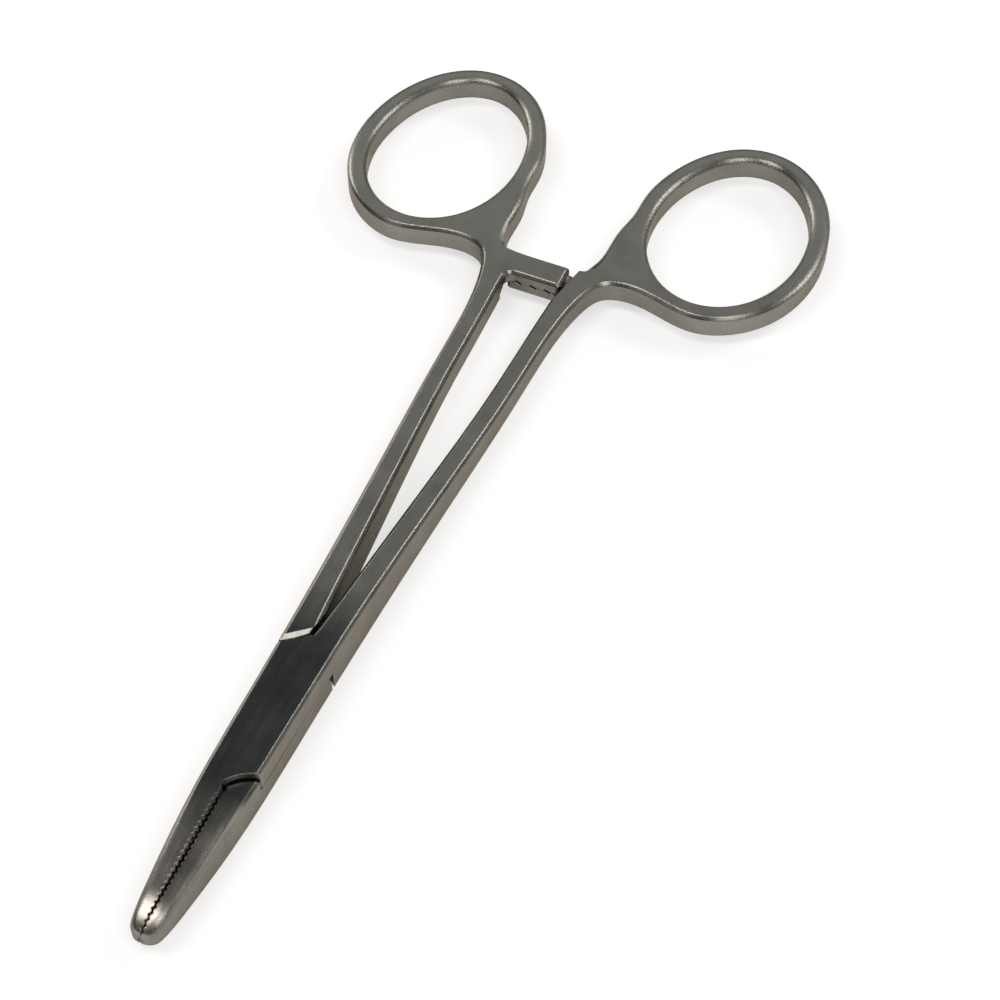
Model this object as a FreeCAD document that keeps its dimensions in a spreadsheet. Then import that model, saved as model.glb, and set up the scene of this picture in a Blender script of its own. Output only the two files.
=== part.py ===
import FreeCAD, Part
import math
import os

# Needle holder: two forged arms cut from the same blank, one turned over on the other,
# lapped at half their thickness and held together by a slotted pivot screw.
# Millimetres. The origin is on the joint's underside, which rests on Z = 0, just behind
# the pivot axis. The jaws point along -Y and the finger rings lie at +Y.

# Main sizes that the others follow
total_length = 139.9
total_width = 67.1
joint_thickness = 6.1
shank_thickness = 3.5
pivot_to_tip = 29.9
ring_bar = 2.6
finger_hole_length = 28.4
finger_hole_width = 20.7
pivot_to_ring = total_length - pivot_to_tip - ring_bar - finger_hole_length / 2
middle_to_ring = (total_width - finger_hole_width) / 2 - ring_bar
pivot_to_ratchet = pivot_to_ring - 0.66 * finger_hole_length

doc = FreeCAD.newDocument("NeedleHolder")
sizes = doc.addObject("Spreadsheet::Sheet", "Sizes")
next_row = 1


def size(alias, value, note):
    """Write one driving dimension into the sheet under its alias."""
    global next_row
    sizes.set("A%d" % next_row, note)
    sizes.set("B%d" % next_row, str(value))
    sizes.setAlias("B%d" % next_row, alias)
    next_row += 1


# Joint
size("joint_thickness", joint_thickness, "both lapped halves together")
size("joint_half_width", 3.25, "half the width across the joint at the pivot")
size("ground_off", 0.03, "ground off the plate's face to make it flat")
size("lap_gap", 0.1, "running gap between the lapped faces")
size("step_gap", 0.3, "gap between a plate's front end and the other jaw's step")
size("step_gap_rear", 0.45, "gap between a plate's rear end and the other shank's step")
size("plate_outer_reach", 8.3, "pivot to the plate's ends, along the arm, at the sides")
size("plate_inner_reach", 10.9, "pivot to the plate's ends, along the arm, at the middle")
size("heel_relief_depth", 0.45, "relief under the plate's rear end, along the arm")
size("heel_relief_height", 0.9, "relief under the plate's rear end, up the end face")
size("step_bevel_height", 0.4, "bevel on the step behind the plate, down the step")
size("step_bevel_depth", 0.5, "bevel on the step behind the plate, along the arm")
size("rest_point", 5.0, "pivot to the point of the underside that is the origin")

# Pivot screw
size("screw_radius", 1.3, "plain neck that the turning arm rides on")
size("screw_clearance", 0.03, "radial running clearance on the neck")
size("screw_thread_radius", 1.05, "threaded end, drawn at its mean radius")
size("screw_thread_length", 2.3, "threaded end in the fixed arm's plate")
size("screw_head_radius", 2.1, "countersunk head's outer radius")
size("screw_head_height", 0.9, "head, from its flush face to the neck")
size("screw_set_back", 0.05, "head's face below the plate's face, and its play in the recess")
size("screw_slot_width", 0.5, "driver slot")
size("screw_slot_depth", 0.45, "driver slot")

# Jaws
size("tip_reach", pivot_to_tip, "pivot to the tip")
size("tip_half_width", 1.85, "half the closed jaws' width where the nose starts to round")
size("nose_length", 2.2, "length of the rounded nose")
size("jaw_middle_half_width", 2.53, "half the closed jaws' width midway")
size("jaw_root_half_width", 2.95, "half the closed jaws' width beside the plate's end")
size("jaw_root_drop", 1.15, "how far a jaw's inner side lies below the plate beside it")
size("tip_rise", 1.4, "tip's top above the middle plane")
size("tip_depth", 1.35, "tip's underside below the middle plane")
size("jaw_gap", 0.04, "gap between the closed jaws")
size("tooth_pitch", 0.76, "spacing of the jaw serrations")
size("tooth_depth", 0.2, "depth of the jaw serrations")
size("tooth_length", 0.46, "width of one serration at its mouth")
size("groove_half_width", 0.35, "half the lengthwise groove in the jaw face")
size("groove_depth", 0.4, "depth of the lengthwise groove in the jaw face")

# Shanks
size("shank_thickness", shank_thickness, "thickness of a shank at its rings")
size("taper_length", 0.83 * pivot_to_ratchet, "pivot to where the shank has thinned down")
size("shank_root_outer", 3.5, "outer edge from the middle plane, just behind the joint")
size("shank_middle_outer", 0.23 * middle_to_ring, "outer edge from the middle plane, midway")
size("shank_end_outer", 0.3155 * middle_to_ring, "outer edge from the middle plane, at the ratchet")
size("shank_middle_width", 2.78, "width of a shank midway")
size("shank_end_width", 2.85, "width of a shank at the ratchet")
size("edge_bevel", 0.42, "bevel along all long edges")

# Finger rings
size("ring_centre_x", middle_to_ring, "ring centre from the middle plane")
size("ring_centre_y", pivot_to_ring, "ring centre from the pivot")
size("ring_half_width", finger_hole_width / 2, "half the finger opening, across")
size("ring_half_length", finger_hole_length / 2, "half the finger opening, along")
size("ring_egg", 0.048, "how much wider the opening is at its near end")
size("ring_bar", ring_bar, "width of the ring's bar seen from above")

# Ratchet
size("ratchet_near", pivot_to_ratchet, "pivot to the ratchet bars' near face")
size("ratchet_far", pivot_to_ratchet + 3.9, "pivot to the ratchet bars' far face")
size("ratchet_reach", 3.8, "how far a bar passes the middle plane")
size("ratchet_tooth_pitch", 2.05, "spacing of the ratchet teeth")
size("ratchet_tooth_depth", 0.3, "depth of the ratchet teeth")
size("ratchet_teeth", 3, "number of ratchet teeth")
size("ratchet_gap", 0.05, "gap between crossing tooth crests and the middle plane")
size("ratchet_floor", 3.6, "middle plane to the side of the flat floor under the other bar")
size("bar_corner", 0.65, "rounding of a ratchet bar's end seen from above")
size("facet_start", 3.9, "middle plane to the foot of the slope beside the ratchet")
size("facet_width", 0.45, "slope beside the ratchet, across")
size("facet_lean", 0.75, "how much the slope leans outward over the width of a bar")

doc.recompute()


def val(alias):
    """Read one driving dimension back from the sheet."""
    return float(sizes.get(alias))


def vec(x, y):
    return FreeCAD.Vector(x, y, 0)


def add_curve(sketch, points, start_way=None, end_way=None):
    """Add a smooth curve through the points, with optional end directions."""
    curve = Part.BSplineCurve()
    if start_way is None:
        curve.interpolate(Points=points)
    else:
        curve.interpolate(Points=points, InitialTangent=start_way, FinalTangent=end_way)
    sketch.addGeometry(curve, False)


def add_lines(sketch, points, closed=True):
    """Add straight lines through the points."""
    last = len(points) if closed else len(points) - 1
    for i in range(last):
        sketch.addGeometry(Part.LineSegment(points[i], points[(i + 1) % len(points)]), False)


def origin_plane(body, role):
    for feature in body.Origin.OriginFeatures:
        if feature.Role == role:
            return feature
    raise RuntimeError("no plane " + role)


def new_sketch(body, name, role="XY_Plane"):
    sketch = body.newObject("Sketcher::SketchObject", name)
    sketch.AttachmentSupport = [(origin_plane(body, role), "")]
    sketch.MapMode = "FlatFace"
    return sketch


def cut(body, sketch, name, kind="ThroughAll", midplane=True, reverse=False):
    """Cut a sketch out of the body, through everything unless a length is bound later."""
    pocket = body.newObject("PartDesign::Pocket", name)
    pocket.Profile = sketch
    pocket.Type = kind
    pocket.Midplane = midplane
    pocket.Reversed = reverse
    sketch.Visibility = False
    return pocket


def ring_opening(turn):
    """A point on the finger opening at an angle: an ellipse, fuller at its near end."""
    across = val("ring_half_width") * math.cos(turn) * (1 - val("ring_egg") * math.sin(turn))
    along = val("ring_half_length") * math.sin(turn)
    return vec(val("ring_centre_x") + across, val("ring_centre_y") + along)


def ring_outside(turn):
    """The same point moved out by the width of the ring's bar."""
    step = 0.001
    way = ring_opening(turn + step) - ring_opening(turn - step)
    way.normalize()
    return ring_opening(turn) + vec(way.y, -way.x) * val("ring_bar")


def right_side():
    """Outer edge from the nose to the ring, on the side of the arm's own shank."""
    middle = (val("ratchet_near") + val("plate_inner_reach")) / 2
    junction = ring_outside(math.radians(250))
    return [
        vec(val("tip_half_width"), val("nose_length") - val("tip_reach")),
        vec(val("jaw_middle_half_width"), -0.65 * val("tip_reach")),
        vec(val("jaw_root_half_width"), -val("plate_inner_reach") - 1),
        vec(val("joint_half_width"), 0),
        vec(val("shank_root_outer"), val("plate_inner_reach") + 1),
        vec(val("shank_middle_outer"), middle - 5),
        vec(val("shank_end_outer") - 0.75, middle + 15),
        vec(val("shank_end_outer"), val("ratchet_near") - 4),
        vec(val("shank_end_outer") + 0.75, val("ratchet_near") - 0.4),
        vec(val("shank_end_outer") + 2.3, val("ratchet_near") + 2.6),
        vec(val("shank_end_outer") + 4.9, val("ratchet_near") + 3.55),
        junction,
    ]


def left_side():
    """Outer edge of the joint and jaws on the side away from the arm's own shank."""
    return [
        vec(-val("shank_root_outer"), val("plate_inner_reach") + 0.7),
        vec(-val("joint_half_width"), 0),
        vec(-val("jaw_root_half_width"), -val("plate_inner_reach") - 1),
        vec(-val("jaw_middle_half_width"), -0.65 * val("tip_reach")),
        vec(-val("tip_half_width"), val("nose_length") - val("tip_reach")),
    ]


def shank_inside():
    """Inner edge of the shank, from the ratchet's corner back to the joint."""
    middle = (val("ratchet_near") + val("plate_inner_reach")) / 2
    end_inner = val("shank_end_outer") - val("shank_end_width")
    middle_inner = val("shank_middle_outer") - val("shank_middle_width")
    return [
        vec(end_inner, val("ratchet_near") - 1.2),
        vec(end_inner - 0.1, val("ratchet_near") - 4),
        vec((end_inner + middle_inner) / 2 + 0.22, middle + 12),
        vec(middle_inner, middle - 5),
        vec(middle_inner * 0.44, middle - 20),
        vec(middle_inner * 0.21, plate_corner().y + 6),
        plate_corner(),
    ]


def plate_corner():
    """Inner corner of the plate's rear end, beside the shank."""
    return vec(-0.17, val("plate_inner_reach"))


def blank_outline(sketch):
    """The forged blank seen from above: nose, joint, shank, ring and ratchet bar."""
    nose = vec(0, -val("tip_reach"))
    right = right_side()
    left = left_side()
    inside = shank_inside()
    add_curve(sketch, [nose, vec(0.72 * val("tip_half_width"), 0.22 * val("nose_length") - val("tip_reach")), right[0]],
              vec(1, 0), vec(0.12, 1))
    steps = 12
    start = math.radians(250)
    turn = math.radians(285) / steps
    ring = [ring_outside(start + turn * (i + 1)) for i in range(steps)]
    last = ring[-1]
    notch = vec(4.9, val("ratchet_far"))
    foot = [
        vec(last.x - 0.1, last.y - 3.6),
        vec(last.x - 0.75, last.y - 7.4),
        vec(last.x - 1.55, val("ratchet_far") + 1.25),
        vec(last.x - 2.15, val("ratchet_far") + 0.25),
        notch,
    ]
    add_curve(sketch, right + ring + foot, vec(0.12, 1), vec(-1, 0))
    end_x = -val("ratchet_reach")
    corner = val("bar_corner")
    back = corner * (1 - math.sqrt(0.5))
    far = val("ratchet_far")
    near = val("ratchet_near")
    inner = inside[0]
    sketch.addGeometry(Part.LineSegment(notch, vec(end_x + corner, far)), False)
    sketch.addGeometry(Part.Arc(vec(end_x + corner, far), vec(end_x + back, far - back), vec(end_x, far - corner)), False)
    sketch.addGeometry(Part.LineSegment(vec(end_x, far - corner), vec(end_x, near + corner)), False)
    sketch.addGeometry(Part.Arc(vec(end_x, near + corner), vec(end_x + back, near + back), vec(end_x + corner, near)), False)
    sketch.addGeometry(Part.LineSegment(vec(end_x + corner, near), vec(inner.x - 1.2, near)), False)
    bend_back = 1.2 * (1 - math.sqrt(0.5))
    bend = vec(inner.x - bend_back, near - bend_back)
    sketch.addGeometry(Part.Arc(vec(inner.x - 1.2, near), bend, inner), False)
    add_curve(sketch, inside, vec(0, -1), vec(-0.15, -1))
    sketch.addGeometry(Part.LineSegment(inside[-1], left[0]), False)
    add_curve(sketch, left, vec(0.05, -1), vec(0.12, -1))
    add_curve(sketch, [left[-1], vec(-0.72 * val("tip_half_width"), 0.22 * val("nose_length") - val("tip_reach")), nose],
              vec(0.12, -1), vec(1, 0))


def side_profile(sketch, way):
    """The top (way 1) or the underside (way -1) seen from the side, closed well outside the arm."""
    half = val("joint_thickness") / 2
    thin = val("shank_thickness") / 2
    reach = val("tip_reach")
    plate = val("plate_inner_reach")
    taper = val("taper_length")
    if way > 0:
        tip = val("tip_rise")
        flat = half + val("ground_off")
        heights = [
            (-reach - 0.4, tip * 0.6),
            (-reach + 1, tip * 0.95),
            (-reach * 0.8, tip + 0.45 * (half - tip)),
            (-reach * 0.6, tip + 0.84 * (half - tip)),
            (-plate - 1.1, flat - 0.01),
            (-plate * 0.5, flat),
            (0, flat),
            (plate - 1, flat),
        ]
    else:
        tip = val("tip_depth")
        root = half - val("jaw_root_drop")
        heights = [
            (-reach - 0.4, tip * 0.6),
            (-reach + 1, tip * 0.93),
            (-reach * 0.8, tip + 0.4 * (root - tip)),
            (-reach * 0.6, tip + 0.75 * (root - tip)),
            (-plate - 1.1, root),
            (-plate * 0.65, root),
            (-plate * 0.3, root + 0.3 * (half - root)),
            (plate * 0.2, half - 0.2 * (half - root)),
            (plate * 0.65, half - val("ground_off")),
            (plate + 1, half - val("ground_off")),
        ]
    heights += [
        (0.4 * taper, half - 0.27 * (half - thin)),
        (0.7 * taper, thin + 0.24 * (half - thin)),
        (taper, thin),
        (0.5 * (taper + 97), thin),
        (97, thin),
        (125, thin),
    ]
    points = [vec(y, z * way) for y, z in heights]
    add_curve(sketch, points)
    outside = (half + 4) * way
    add_lines(sketch, [points[-1], vec(points[-1].x, outside), vec(points[0].x, outside), points[0]], False)


def plate_rear(gap, mirror):
    """The plate's rear end, from its side to its inner corner, moved back by a gap."""
    side = val("joint_half_width") + 0.2
    return [
        vec(-(side + 2.5) * mirror, val("plate_outer_reach") - 2.1 + gap),
        vec(-side * mirror, val("plate_outer_reach") + gap),
        vec(-0.5 * side * mirror, (val("plate_outer_reach") + val("plate_inner_reach")) / 2 + gap),
        vec((-0.17 - 0.95 * gap) * mirror, val("plate_inner_reach") + 0.5 * gap),
    ]


def plate_front(gap, mirror):
    """The plate's front end, from its side to the jaws' meeting line, moved forward by a gap."""
    side = val("jaw_root_half_width")
    outer = val("plate_outer_reach") - 0.1
    inner = val("plate_inner_reach") - 0.1
    return [
        vec((side + 2.5) * mirror, -outer + 1 - gap),
        vec(side * mirror, -outer + 0.1 - gap),
        vec(0.4 * side * mirror, -outer - 0.85 - gap),
        vec(0.12 * side * mirror, -outer - 1.6 - gap),
        vec(-0.26 * mirror - 0.8 * gap * mirror, -inner - gap),
    ]


def long_edges(shape, way):
    """Names of the edges that run along the top (way 1) or the underside (way -1)."""
    names = []
    for i, edge in enumerate(shape.Edges):
        box = edge.BoundBox
        on_side = box.ZMin > 0.5 if way > 0 else box.ZMax < -0.5
        across = box.YLength < 1 and box.YMax < val("taper_length") + 1 and box.YMin > -val("tip_reach") + 5
        if on_side and not across:
            names.append("Edge%d" % (i + 1))
    return names


def wedge(body, name, corner, along, slope, length, width):
    """Cut away all that lies over a slope; it starts at a corner and runs along two directions."""
    along.normalize()
    slope.normalize()
    turn = FreeCAD.Rotation(along, slope, along.cross(slope), "XYZ")
    deep = 2.5
    box = body.newObject("PartDesign::SubtractiveBox", name)
    box.AttachmentSupport = [(origin_plane(body, "XY_Plane"), "")]
    box.MapMode = "FlatFace"
    box.AttachmentOffset = FreeCAD.Placement(corner - along.cross(slope) * deep, turn)
    box.setExpression("Length", length)
    box.setExpression("Width", width)
    box.Height = deep
    doc.recompute()


def cylinder(body, kind, name, radius, height, start):
    """A round boss or hole on the pivot axis, with its sizes as expressions."""
    part = body.newObject("PartDesign::" + kind, name)
    part.AttachmentSupport = [(origin_plane(body, "XY_Plane"), "")]
    part.MapMode = "FlatFace"
    part.setExpression(".AttachmentOffset.Base.z", start)
    part.setExpression("Radius", radius)
    part.setExpression("Height", height)
    return part


def make_arm(name, tooth_shift):
    """One arm in its own frame: the middle plane is Z = 0 and its plate is the upper half."""
    body = doc.addObject("PartDesign::Body", name)
    half = val("joint_thickness") / 2

    # Blank
    outline = new_sketch(body, name + "Outline")
    blank_outline(outline)
    pad = body.newObject("PartDesign::Pad", name + "Blank")
    pad.Profile = outline
    pad.Midplane = True
    pad.setExpression("Length", "Sizes.joint_thickness + 2")
    outline.Visibility = False

    # Thickness along the arm, above and below
    above = new_sketch(body, name + "Above", "YZ_Plane")
    side_profile(above, 1)
    trim = cut(body, above, name + "ThinAbove", kind="Length")
    trim.setExpression("Length", "4 * Sizes.ring_centre_x + 10")
    below = new_sketch(body, name + "Below", "YZ_Plane")
    side_profile(below, -1)
    trim = cut(body, below, name + "ThinBelow", kind="Length")
    trim.setExpression("Length", "4 * Sizes.ring_centre_x + 10")

    # Finger opening
    opening = new_sketch(body, name + "Opening")
    steps = 16
    ring = [ring_opening(2 * math.pi * i / steps) for i in range(steps)]
    loop = Part.BSplineCurve()
    loop.interpolate(Points=ring, PeriodicFlag=True)
    opening.addGeometry(loop, False)
    cut(body, opening, name + "FingerHole")
    doc.recompute()

    # Bevel of the long edges
    for way, side in [(1, "Above"), (-1, "Below")]:
        before = body.Tip
        edges = body.newObject("PartDesign::Chamfer", name + "LongEdges" + side)
        edges.Base = (before, long_edges(before.Shape, way))
        edges.setExpression("Size", "Sizes.edge_bevel")
        doc.recompute()

    # The plate's face ground flat
    grind = new_sketch(body, name + "Ground")
    grind.setExpression(".AttachmentOffset.Base.z", "Sizes.joint_thickness / 2")
    reach = val("plate_inner_reach") + 9
    add_lines(grind, [vec(-5, -reach), vec(5, -reach), vec(5, reach), vec(-5, reach)])
    cut(body, grind, name + "GroundFlat", midplane=False, reverse=True)
    doc.recompute()

    # Space for the other arm's shank behind the plate
    rear = plate_rear(0, 1)
    behind = new_sketch(body, name + "BehindPlate")
    add_curve(behind, rear, vec(0.8, 0.6), vec(0.75, 0.66))
    start = shank_inside()[-1]
    add_lines(behind, [start, vec(start.x - 0.3, start.y + 3), vec(rear[0].x, start.y + 3), rear[0]], False)
    cut(body, behind, name + "OpenBehind")

    # Space for the other jaw beside this one, with the serrations in this jaw's face
    front = plate_front(0, 1)
    face = -val("jaw_gap") / 2
    beside = new_sketch(body, name + "BesideJaw")
    add_curve(beside, front, vec(-1, -0.1), vec(-0.35, -1))
    points = [front[-1], vec(face, front[-1].y - 0.3)]
    mark = -val("plate_inner_reach") - 1.2 - tooth_shift
    while mark - val("tooth_length") > -val("tip_reach") - 0.5:
        points.append(vec(face, mark))
        points.append(vec(face - val("tooth_depth"), mark - val("tooth_length") / 2))
        points.append(vec(face, mark - val("tooth_length")))
        mark -= val("tooth_pitch")
    points += [vec(face, -val("tip_reach") - 2), vec(front[0].x, -val("tip_reach") - 2), front[0]]
    add_lines(beside, points, False)
    cut(body, beside, name + "OpenBeside")
    doc.recompute()

    # Lower half taken away where the other arm's plate passes
    rear = plate_rear(val("step_gap_rear"), -1)
    front = plate_front(val("step_gap"), -1)
    lap = new_sketch(body, name + "Lap")
    lap.setExpression(".AttachmentOffset.Base.z", "Sizes.lap_gap / 2")
    add_curve(lap, rear, vec(-0.8, 0.6), vec(-0.75, 0.66))
    add_curve(lap, front, vec(1, -0.1), vec(0.35, -1))
    inner = rear[-1]
    free = vec(0.24, start.y + 3.7)
    add_lines(lap, [inner, vec(0.3, inner.y + 1.5), free, vec(-7, free.y), front[0]], False)
    add_lines(lap, [front[-1], vec(front[-1].x + 0.1, front[-1].y - 0.6), vec(7, front[-1].y - 0.6),
                    vec(7, rear[0].y), rear[0]], False)
    cut(body, lap, name + "LapCut", midplane=False)
    doc.recompute()

    # Relief under the plate's rear end
    heel = plate_rear(0, 1)
    along = heel[-1] - heel[1]
    along.normalize()
    back = FreeCAD.Vector(-along.y, along.x, 0) * val("heel_relief_depth")
    slope = back + FreeCAD.Vector(0, 0, val("heel_relief_height"))
    corner = heel[1] - along - back + FreeCAD.Vector(0, 0, val("lap_gap") / 2)
    wedge(body, name + "HeelRelief", corner - slope, along, slope, "Sizes.joint_half_width + 1.8",
          "4 * Sizes.heel_relief_height")

    # Bevel on the step behind the other arm's plate
    along = rear[1] - inner
    along.normalize()
    back = FreeCAD.Vector(-along.y, along.x, 0)
    rise = val("step_bevel_height")
    slope = back * val("step_bevel_depth") - FreeCAD.Vector(0, 0, rise)
    corner = inner - along * 1.5 + FreeCAD.Vector(0, 0, rise - half)
    wedge(body, name + "StepBevel", corner - slope, along, slope,
          "Sizes.joint_half_width + 3.5", "2.5 * Sizes.step_bevel_depth + Sizes.step_bevel_height")

    # Lengthwise groove in the jaw face
    groove = new_sketch(body, name + "Groove", "XZ_Plane")
    groove.setExpression(".AttachmentOffset.Base.z", "Sizes.plate_inner_reach + 1.5")
    add_lines(groove, [vec(0.3, -val("groove_half_width")), vec(0.3, val("groove_half_width")),
                       vec(face, val("groove_half_width")), vec(face - val("groove_depth"), 0),
                       vec(face, -val("groove_half_width"))])
    cut(body, groove, name + "GrooveCut", midplane=False, reverse=True)
    doc.recompute()

    # Ratchet: the upper half taken away down to the teeth, and the slope beside them
    edge = val("ratchet_floor")
    crest = -val("ratchet_gap")
    root = crest - val("ratchet_tooth_depth")
    pitch = val("ratchet_tooth_pitch")
    points = [vec(edge, crest)]
    for i in range(int(val("ratchet_teeth"))):
        steep = edge - 1.1 - i * pitch
        points.append(vec(steep, crest))
        points.append(vec(steep - 0.1, root))
        points.append(vec(steep - 0.45 * pitch, crest))
    points += [vec(-edge - 3, crest), vec(-edge - 3, 4), vec(edge, 4)]
    teeth = new_sketch(body, name + "Teeth", "XZ_Plane")
    teeth.setExpression(".AttachmentOffset.Base.z", "0.9 - (Sizes.ratchet_near + Sizes.ratchet_far) / 2")
    add_lines(teeth, points)
    ratchet = cut(body, teeth, name + "TeethCut", kind="Length")
    ratchet.setExpression("Length", "Sizes.ratchet_far - Sizes.ratchet_near + 2.4")
    doc.recompute()
    along = FreeCAD.Vector(val("facet_lean"), val("ratchet_far") - val("ratchet_near"), 0)
    out = FreeCAD.Vector(along.y, -along.x, 0)
    out.normalize()
    slope = out * val("facet_width") + FreeCAD.Vector(0, 0, val("shank_thickness") / 2 - crest)
    corner = FreeCAD.Vector(val("facet_start"), val("ratchet_near"), crest) - along * 0.6 - slope * 0.06
    wedge(body, name + "Facet", corner, along, slope,
          "1.7 * (Sizes.ratchet_far - Sizes.ratchet_near)", "Sizes.shank_thickness")
    return body


# The two arms, the second turned over about the long axis
upper_arm = make_arm("UpperArm", 0)
cylinder(upper_arm, "SubtractiveCylinder", "UpperArmThread", "Sizes.screw_thread_radius",
         "Sizes.screw_thread_length + 0.1 + Sizes.lap_gap / 2", "0")
lower_arm = make_arm("LowerArm", 0.5 * val("tooth_pitch"))
cylinder(lower_arm, "SubtractiveCylinder", "LowerArmBore", "Sizes.screw_radius + Sizes.screw_clearance",
         "Sizes.joint_thickness", "0")
cylinder(lower_arm, "SubtractiveCylinder", "LowerArmRecess", "Sizes.screw_head_radius + 2 * Sizes.screw_clearance",
         "Sizes.joint_thickness", "Sizes.joint_thickness / 2 - Sizes.screw_head_height - 2 * Sizes.screw_set_back")

# Pivot screw, head down, its neck in the lower arm and its thread in the upper arm
screw = doc.addObject("PartDesign::Body", "PivotScrew")
cylinder(screw, "AdditiveCylinder", "ScrewHead", "Sizes.screw_head_radius", "Sizes.screw_head_height", "0")
cylinder(screw, "AdditiveCylinder", "ScrewNeck", "Sizes.screw_radius",
         "(Sizes.joint_thickness + Sizes.lap_gap) / 2 - Sizes.screw_set_back", "0")
cylinder(screw, "AdditiveCylinder", "ScrewThread", "Sizes.screw_thread_radius", "Sizes.screw_thread_length",
         "(Sizes.joint_thickness + Sizes.lap_gap) / 2 - Sizes.screw_set_back")
slot = screw.newObject("PartDesign::SubtractiveBox", "ScrewSlot")
slot.AttachmentSupport = [(origin_plane(screw, "XY_Plane"), "")]
slot.MapMode = "FlatFace"
slot.setExpression("Length", "2 * Sizes.screw_head_radius + 1")
slot.setExpression("Width", "Sizes.screw_slot_width")
slot.setExpression("Height", "Sizes.screw_slot_depth + 0.5")
slot.setExpression(".AttachmentOffset.Base.x", "-Sizes.screw_head_radius - 0.5")
slot.setExpression(".AttachmentOffset.Base.y", "-Sizes.screw_slot_width / 2")
slot.setExpression(".AttachmentOffset.Base.z", "-0.5")

for body in [upper_arm, lower_arm, screw]:
    body.setExpression(".Placement.Base.y", "-Sizes.rest_point")
upper_arm.Placement = FreeCAD.Placement(FreeCAD.Vector(0, 0, 3), FreeCAD.Rotation())
upper_arm.setExpression(".Placement.Base.z", "Sizes.joint_thickness / 2")
turned = FreeCAD.Rotation(FreeCAD.Vector(0, 1, 0), 180)
lower_arm.Placement = FreeCAD.Placement(FreeCAD.Vector(0, 0, 3), turned)
lower_arm.setExpression(".Placement.Base.z", "Sizes.joint_thickness / 2")
screw.setExpression(".Placement.Base.z", "Sizes.screw_set_back")
doc.recompute()

# Check and export
upper_arm.Label = "upper_arm"
lower_arm.Label = "lower_arm"
screw.Label = "pivot_screw"
for item in doc.Objects:
    if "Invalid" in item.State or "Error" in item.State:
        raise RuntimeError("not computed: " + item.Name)
os.makedirs("parts", exist_ok=True)
for body in [upper_arm, lower_arm, screw]:
    if body.Shape.isNull() or not body.Shape.isValid() or len(body.Shape.Solids) != 1:
        raise RuntimeError("bad solid: " + body.Label)
    body.Shape.exportStep("parts/" + body.Label + ".step")
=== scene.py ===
import bpy
from mathutils import Matrix, Vector

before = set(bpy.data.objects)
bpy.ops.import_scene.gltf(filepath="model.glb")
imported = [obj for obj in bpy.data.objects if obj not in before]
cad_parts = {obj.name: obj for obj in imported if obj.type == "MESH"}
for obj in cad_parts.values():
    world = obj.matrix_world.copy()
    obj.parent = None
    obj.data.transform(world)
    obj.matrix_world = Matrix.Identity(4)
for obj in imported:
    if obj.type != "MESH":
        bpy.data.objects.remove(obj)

scene = bpy.context.scene
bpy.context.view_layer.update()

# Steel colours and roughness; the plate tint multiplies the steel on the joint's ground plates,
# darker and bluer: partly their smoother ground finish, partly a painted dark reflection
ARM_STEEL = (0.23, 0.222, 0.201)
ARM_ROUGHNESS = 0.26
PLATE_FINISH_AND_DARK_REFLECTION = (0.345, 0.382, 0.42)
SCREW_STEEL = (0.26, 0.26, 0.25)
SCREW_ROUGHNESS = 0.24
GRAZING_TINT = (0.62, 0.58, 0.53, 1.0)
DARKER = 0.8
LIGHTER = 1.2
# Painted glints: light specks in the steel's colour, how much lighter they are and how strongly
# they show
GLINT_SPECK_LIGHTER = 2.2
GLINT_SPECK_SHARE = 0.5
SMOOTHER = 0.06
ROUGHER = 0.07

# Noise scales, per metre, and the blasted grain's bump
GRAIN = 5200.0
PATCH = 210.0
STREAK = 1900.0
STREAK_STRETCH = (1.0, 0.08, 1.0)
# scale of the painted glint specks
GLINT_SPECK_SCALE = 3300.0
GRAIN_BUMP = 0.1
GRAIN_DEPTH = 0.00002

# Places in metres: Y along the part, the jaws at -Y, and X across it; each ramp has a span
PIVOT_Y = -0.005
ALONG_SPAN = (-0.06, 0.14)
FROM_PIVOT_SPAN = (0.0, 0.02)
ACROSS_SPAN = (0.0, 1 / 300)
PLATE_STOPS = [(0.011, 1.0), (0.019, 0.0)]
RING_STOPS = [(0.072, 0.0), (0.084, 1.0)]
JAW_STOPS = [(-0.028, 1.0), (-0.018, 0.0)]
JAW_BACK_STOPS = [(0.0005, 0.0), (0.35 / 300, 1.0)]
CROWN_STOPS = [(-0.02, 1.0), (-0.0135, 0.0)]
NOSE_START = -0.0295

# Which normals count as level, by the size of their Z
LEVEL_STOPS = [(0.985, 0.0), (0.997, 1.0)]

# Rounding in the shading: radii in metres, and the fall of a crown per squared metre
EDGE_RADIUS = 0.00025
RING_EDGE_EXTRA = 0.0007
JAW_EDGE_EXTRA = 0.0006
EDGE_SAMPLES = 6
SIDE_FALL = -105.0
NOSE_FALL = -36.0

# Table: its colour, and the share of plain white that the camera and mirrored rays see
TABLE_SIZE = 6.0
TABLE_Z = -0.0003
TABLE_COLOUR = (0.94, 0.935, 0.925, 1.0)
TABLE_ROUGHNESS = 0.95
CAMERA_WHITE = 0.62
MIRRORED_WHITE = 0.15

# World: brightness over the height of a direction, times that over its way back
SKY_COLOUR = (0.97, 1.0, 0.99, 1.0)
HEIGHT_STOPS = [
    (0.0, 0.08),
    (0.35, 0.2),
    (0.58, 0.95),
    (0.66, 0.9),
    (0.72, 0.5),
    (0.78, 0.25),
    (1.0, 0.18),
]
BACKWARDS_SPAN = (-1.0, 1.0)
BACKWARDS_STOPS = [(-1.0, 0.12), (-0.16, 0.3), (0.2, 1.0)]

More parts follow.
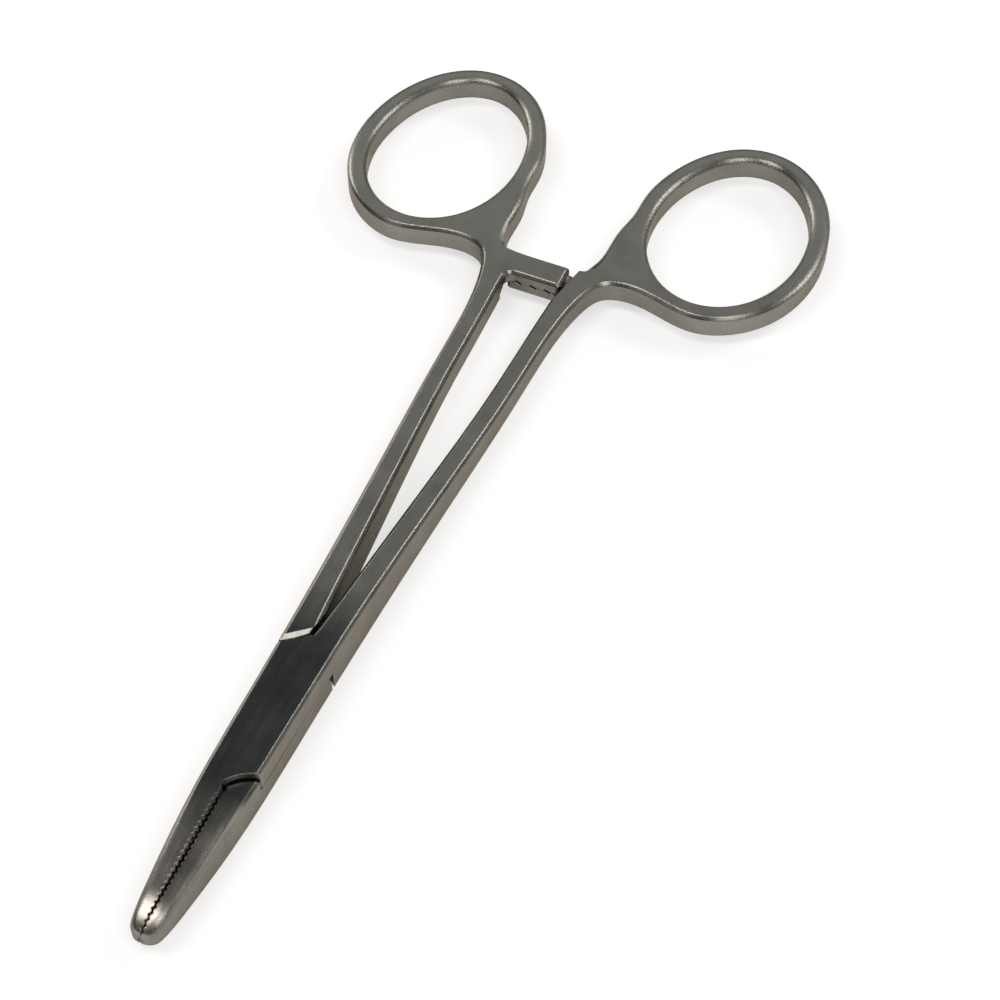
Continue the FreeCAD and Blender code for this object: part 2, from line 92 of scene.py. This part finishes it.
# Lamps: name, place, target, width, height, power in watts, colour
LAMPS = [
    ("front", (0.4, -0.27, 0.88), (0.0, 0.0, 0.0), 0.45, 0.55, 4.1, (1.0, 0.97, 0.94)),
    ("back_right", (0.52, 0.63, 0.66), (0.0, 0.0, 0.0), 0.42, 0.3, 3.0, (1.0, 0.97, 0.94)),
    ("back_left", (-0.9, 0.45, 0.42), (0.0, 0.03, 0.0), 0.45, 0.45, 3.4, (1.0, 0.98, 0.96)),
    ("overhead", (-0.27, -0.27, 0.9), (0.0, -0.03, 0.0), 0.3, 0.6, 4.6, (1.0, 0.93, 0.89)),
]

# Camera at the photograph's viewing angle: its axes, place in metres, and lens in millimetres
CAMERA_RIGHT = (0.915, 0.4034, -0.0033)
CAMERA_UP = (-0.3114, 0.7116, 0.6298)
CAMERA_BACK = (0.2564, -0.5753, 0.7767)
CAMERA_PLACE = (0.0822, -0.1258, 0.22)
CAMERA_LENS = 82.8
CAMERA_SENSOR = 36.0
CAMERA_CLIP_START = 0.01


def node_tree(name):
    """A new material and its node tree, with the shader and the output in place."""
    material = bpy.data.materials.new(name)
    material.use_nodes = True
    tree = material.node_tree
    tree.nodes.clear()
    output = tree.nodes.new("ShaderNodeOutputMaterial")
    shader = tree.nodes.new("ShaderNodeBsdfPrincipled")
    tree.links.new(shader.outputs["BSDF"], output.inputs["Surface"])
    return material, tree, shader


def add(tree, kind, **values):
    """A node with some of its properties and unlinked sockets set."""
    node = tree.nodes.new(kind)
    for key, value in values.items():
        if hasattr(node, key):
            setattr(node, key, value)
        else:
            node.inputs[key].default_value = value
    return node


def split(tree, vector):
    """The X, Y and Z of a vector, as sockets."""
    node = add(tree, "ShaderNodeSeparateXYZ")
    tree.links.new(vector, node.inputs["Vector"])
    return node.outputs


def ramp(tree, source, stops):
    """A colour ramp over a value, with its stops given as place and grey or colour."""
    node = add(tree, "ShaderNodeValToRGB")
    tree.links.new(source, node.inputs["Fac"])
    elements = node.color_ramp.elements
    while len(elements) < len(stops):
        elements.new(0.5)
    for element, (place, colour) in zip(elements, stops):
        element.position = place
        if isinstance(colour, (int, float)):
            colour = (colour, colour, colour)
        element.color = (*colour, 1.0)
    return node.outputs["Color"]


def ramp_over(tree, source, span, stops):
    """A ramp over a value that leaves 0 to 1; its stops lie in the span, as the value does."""
    low, high = span
    share = math_node(tree, "MULTIPLY_ADD", source, 1 / (high - low), -low / (high - low))
    return ramp(tree, share, [((place - low) / (high - low), grey) for place, grey in stops])


def scaled(tree, source, scale):
    """The given coordinates, stretched along the axes."""
    mapping = add(tree, "ShaderNodeMapping", Scale=scale)
    tree.links.new(source, mapping.inputs["Vector"])
    return mapping.outputs["Vector"]


def noise(tree, source, scale, detail=4.0, rough=0.6):
    """A noise texture's grey over the given coordinates."""
    texture = add(tree, "ShaderNodeTexNoise", Scale=scale, Detail=detail, Roughness=rough)
    tree.links.new(source, texture.inputs["Vector"])
    return texture.outputs["Fac"]


def mean(tree, first, second, share=0.5):
    """The weighted mean of two values."""
    mix = add(tree, "ShaderNodeMix", data_type="FLOAT", Factor=share)
    tree.links.new(first, mix.inputs["A"])
    tree.links.new(second, mix.inputs["B"])
    return mix.outputs["Result"]


def math_node(tree, operation, *values):
    """One sum on up to three values, each a socket or a number."""
    node = add(tree, "ShaderNodeMath", operation=operation)
    for place, value in enumerate(values):
        if isinstance(value, (int, float)):
            node.inputs[place].default_value = value
        else:
            tree.links.new(value, node.inputs[place])
    return node.outputs["Value"]


def times(tree, first, second):
    """The product of two values."""
    return math_node(tree, "MULTIPLY", first, second)


def tinted(tree, factor, first, second, blend="MIX"):
    """Two colours mixed by a factor, each a socket or a colour."""
    mix = add(tree, "ShaderNodeMix", data_type="RGBA", blend_type=blend)
    if isinstance(factor, (int, float)):
        mix.inputs[0].default_value = factor
    else:
        tree.links.new(factor, mix.inputs[0])
    for place, value in ((6, first), (7, second)):
        if isinstance(value, tuple):
            mix.inputs[place].default_value = (*value, 1.0)
        else:
            tree.links.new(value, mix.inputs[place])
    return mix.outputs[2]


def edge_radius(tree, place):
    """How far edges are rounded: little on shanks, more on the jaws' backs and the rings."""
    parts = split(tree, place)
    rings = ramp_over(tree, parts["Y"], ALONG_SPAN, RING_STOPS)
    jaws = ramp_over(tree, parts["Y"], ALONG_SPAN, JAW_STOPS)
    aside = math_node(tree, "ABSOLUTE", parts["X"])
    backs = times(tree, jaws, ramp_over(tree, aside, ACROSS_SPAN, JAW_BACK_STOPS))
    ring_extra = times(tree, rings, RING_EDGE_EXTRA)
    jaw_extra = times(tree, backs, JAW_EDGE_EXTRA)
    extra = math_node(tree, "ADD", ring_extra, jaw_extra)
    return math_node(tree, "ADD", extra, EDGE_RADIUS)


def crown(tree, place, normal):
    """The jaws' roundness: the right one falls off outwards, both noses fall off forwards."""
    parts = split(tree, place)
    jaws = ramp_over(tree, parts["Y"], ALONG_SPAN, CROWN_STOPS)
    outwards = math_node(tree, "MAXIMUM", parts["X"], 0.0)
    sideways = times(tree, times(tree, outwards, outwards), SIDE_FALL)
    past_start = math_node(tree, "SUBTRACT", NOSE_START, parts["Y"])
    forwards = math_node(tree, "MAXIMUM", past_start, 0.0)
    nose = times(tree, times(tree, forwards, forwards), NOSE_FALL)
    fall = math_node(tree, "ADD", times(tree, sideways, jaws), nose)
    bump = add(tree, "ShaderNodeBump", Strength=1.0, Distance=1.0)
    tree.links.new(fall, bump.inputs["Height"])
    tree.links.new(normal, bump.inputs["Normal"])
    return bump.outputs["Normal"]


def ground_plates_with_dark_reflection(tree, place, colour, tint):
    """The steel with the level faces near the pivot multiplied by the tint: the plates' ground
    finish plus a painted dark reflection.
    """
    from_pivot = math_node(tree, "ADD", split(tree, place)["Y"], -PIVOT_Y)
    from_pivot = math_node(tree, "ABSOLUTE", from_pivot)
    near_joint = ramp_over(tree, from_pivot, FROM_PIVOT_SPAN, PLATE_STOPS)
    normal = add(tree, "ShaderNodeNewGeometry").outputs["Normal"]
    level = ramp(tree, math_node(tree, "ABSOLUTE", split(tree, normal)["Z"]), LEVEL_STOPS)
    # painted dark reflection on the level plate faces, together with their real darker ground
    # finish
    ground_and_reflected = tinted(tree, 1.0, colour, tint, "MULTIPLY")
    return tinted(tree, times(tree, near_joint, level), colour, ground_and_reflected)


def satin_steel(name, tone, rough, plate_finish_and_reflection=None):
    """Bead-blasted steel: fine grain, faint patches, lengthwise streaks, and light specks
    painted in as glints.
    """
    material, tree, shader = node_tree(name)
    place = add(tree, "ShaderNodeTexCoord").outputs["Object"]
    grain = noise(tree, place, GRAIN, 3.0)
    patch = noise(tree, place, PATCH, 4.0, 0.55)
    streak = noise(tree, scaled(tree, place, STREAK_STRETCH), STREAK)
    glint_noise = noise(tree, place, GLINT_SPECK_SCALE, 1.0, 0.4)
    low = tuple(c * DARKER for c in tone)
    high = tuple(c * LIGHTER for c in tone)
    glint_colour = tuple(c * GLINT_SPECK_LIGHTER for c in tone)
    colour = ramp(tree, mean(tree, patch, grain, 0.45), [(0.3, low), (0.7, high)])
    # painted glints: light specks mixed into the colour
    glint_specks = ramp(tree, glint_noise, [(0.75, 0.0), (0.82, GLINT_SPECK_SHARE)])
    colour = tinted(tree, glint_specks, colour, glint_colour)
    # level faces of the joint's plates: ground finish and painted dark reflection
    if plate_finish_and_reflection:
        colour = ground_plates_with_dark_reflection(tree, place, colour, plate_finish_and_reflection)
    gloss_stops = [(0.3, rough - SMOOTHER), (0.7, rough + ROUGHER)]
    gloss = ramp(tree, mean(tree, streak, patch), gloss_stops)
    tree.links.new(colour, shader.inputs["Base Color"])
    tree.links.new(gloss, shader.inputs["Roughness"])
    shader.inputs["Metallic"].default_value = 1.0
    shader.inputs["Specular Tint"].default_value = GRAZING_TINT
    soft_edges = add(tree, "ShaderNodeBevel", samples=EDGE_SAMPLES)
    tree.links.new(edge_radius(tree, place), soft_edges.inputs["Radius"])
    rounded = crown(tree, place, soft_edges.outputs["Normal"])
    bump = add(tree, "ShaderNodeBump", Strength=GRAIN_BUMP, Distance=GRAIN_DEPTH)
    tree.links.new(grain, bump.inputs["Height"])
    tree.links.new(rounded, bump.inputs["Normal"])
    tree.links.new(bump.outputs["Normal"], shader.inputs["Normal"])
    return material


def lamp(name, where, target, width, height, power, colour):
    """A soft rectangular lamp turned to its target."""
    data = bpy.data.lights.new(name, "AREA")
    data.shape = "RECTANGLE"
    data.size = width
    data.size_y = height
    data.energy = power
    data.color = colour
    item = bpy.data.objects.new(name, data)
    item.location = where
    way = Vector(target) - Vector(where)
    item.rotation_euler = way.to_track_quat("-Z", "Y").to_euler()
    scene.collection.objects.link(item)


steel = satin_steel("satin_steel", ARM_STEEL, ARM_ROUGHNESS, PLATE_FINISH_AND_DARK_REFLECTION)
screw_steel = satin_steel("screw_steel", SCREW_STEEL, SCREW_ROUGHNESS)

for name, material in [("upper_arm", steel), ("lower_arm", steel), ("pivot_screw", screw_steel)]:
    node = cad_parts[name]
    node.data.materials.clear()
    node.data.materials.append(material)

# Floor: a plain white table that keeps the object's soft shadow
bpy.ops.mesh.primitive_plane_add(size=TABLE_SIZE, location=(0, 0, TABLE_Z))
floor = bpy.context.object
floor.name = "table"
material, tree, shader = node_tree("table_white")
shader.inputs["Base Color"].default_value = TABLE_COLOUR
shader.inputs["Roughness"].default_value = TABLE_ROUGHNESS
shader.inputs["Specular IOR Level"].default_value = 0.0
white = add(tree, "ShaderNodeEmission")
path = add(tree, "ShaderNodeLightPath").outputs
direct = times(tree, path["Is Camera Ray"], CAMERA_WHITE)
mirrored = times(tree, path["Is Glossy Ray"], MIRRORED_WHITE)
blend = add(tree, "ShaderNodeMixShader")
tree.links.new(math_node(tree, "ADD", direct, mirrored), blend.inputs["Fac"])
tree.links.new(shader.outputs["BSDF"], blend.inputs[1])
tree.links.new(white.outputs["Emission"], blend.inputs[2])
tree.links.new(blend.outputs["Shader"], tree.nodes["Material Output"].inputs["Surface"])
floor.data.materials.append(material)

# World: a dark room with a bright band above the horizon at the back
world = bpy.data.worlds.new("studio")
scene.world = world
world.use_nodes = True
tree = world.node_tree
sky = tree.nodes["Background"]
sky.inputs["Color"].default_value = SKY_COLOUR
direction = split(tree, add(tree, "ShaderNodeTexCoord").outputs["Generated"])
by_height = ramp(tree, direction["Z"], HEIGHT_STOPS)
by_back = ramp_over(tree, direction["Y"], BACKWARDS_SPAN, BACKWARDS_STOPS)
tree.links.new(times(tree, by_height, by_back), sky.inputs["Strength"])

for values in LAMPS:
    lamp(*values)

data = bpy.data.cameras.new("photo_view")
data.sensor_width = CAMERA_SENSOR
data.lens = CAMERA_LENS
data.clip_start = CAMERA_CLIP_START
camera = bpy.data.objects.new("photo_view", data)
turn = Matrix((CAMERA_RIGHT, CAMERA_UP, CAMERA_BACK)).transposed().to_4x4()
camera.matrix_world = Matrix.Translation(CAMERA_PLACE) @ turn
scene.collection.objects.link(camera)
scene.camera = camera

scene.view_settings.view_transform = "Standard"
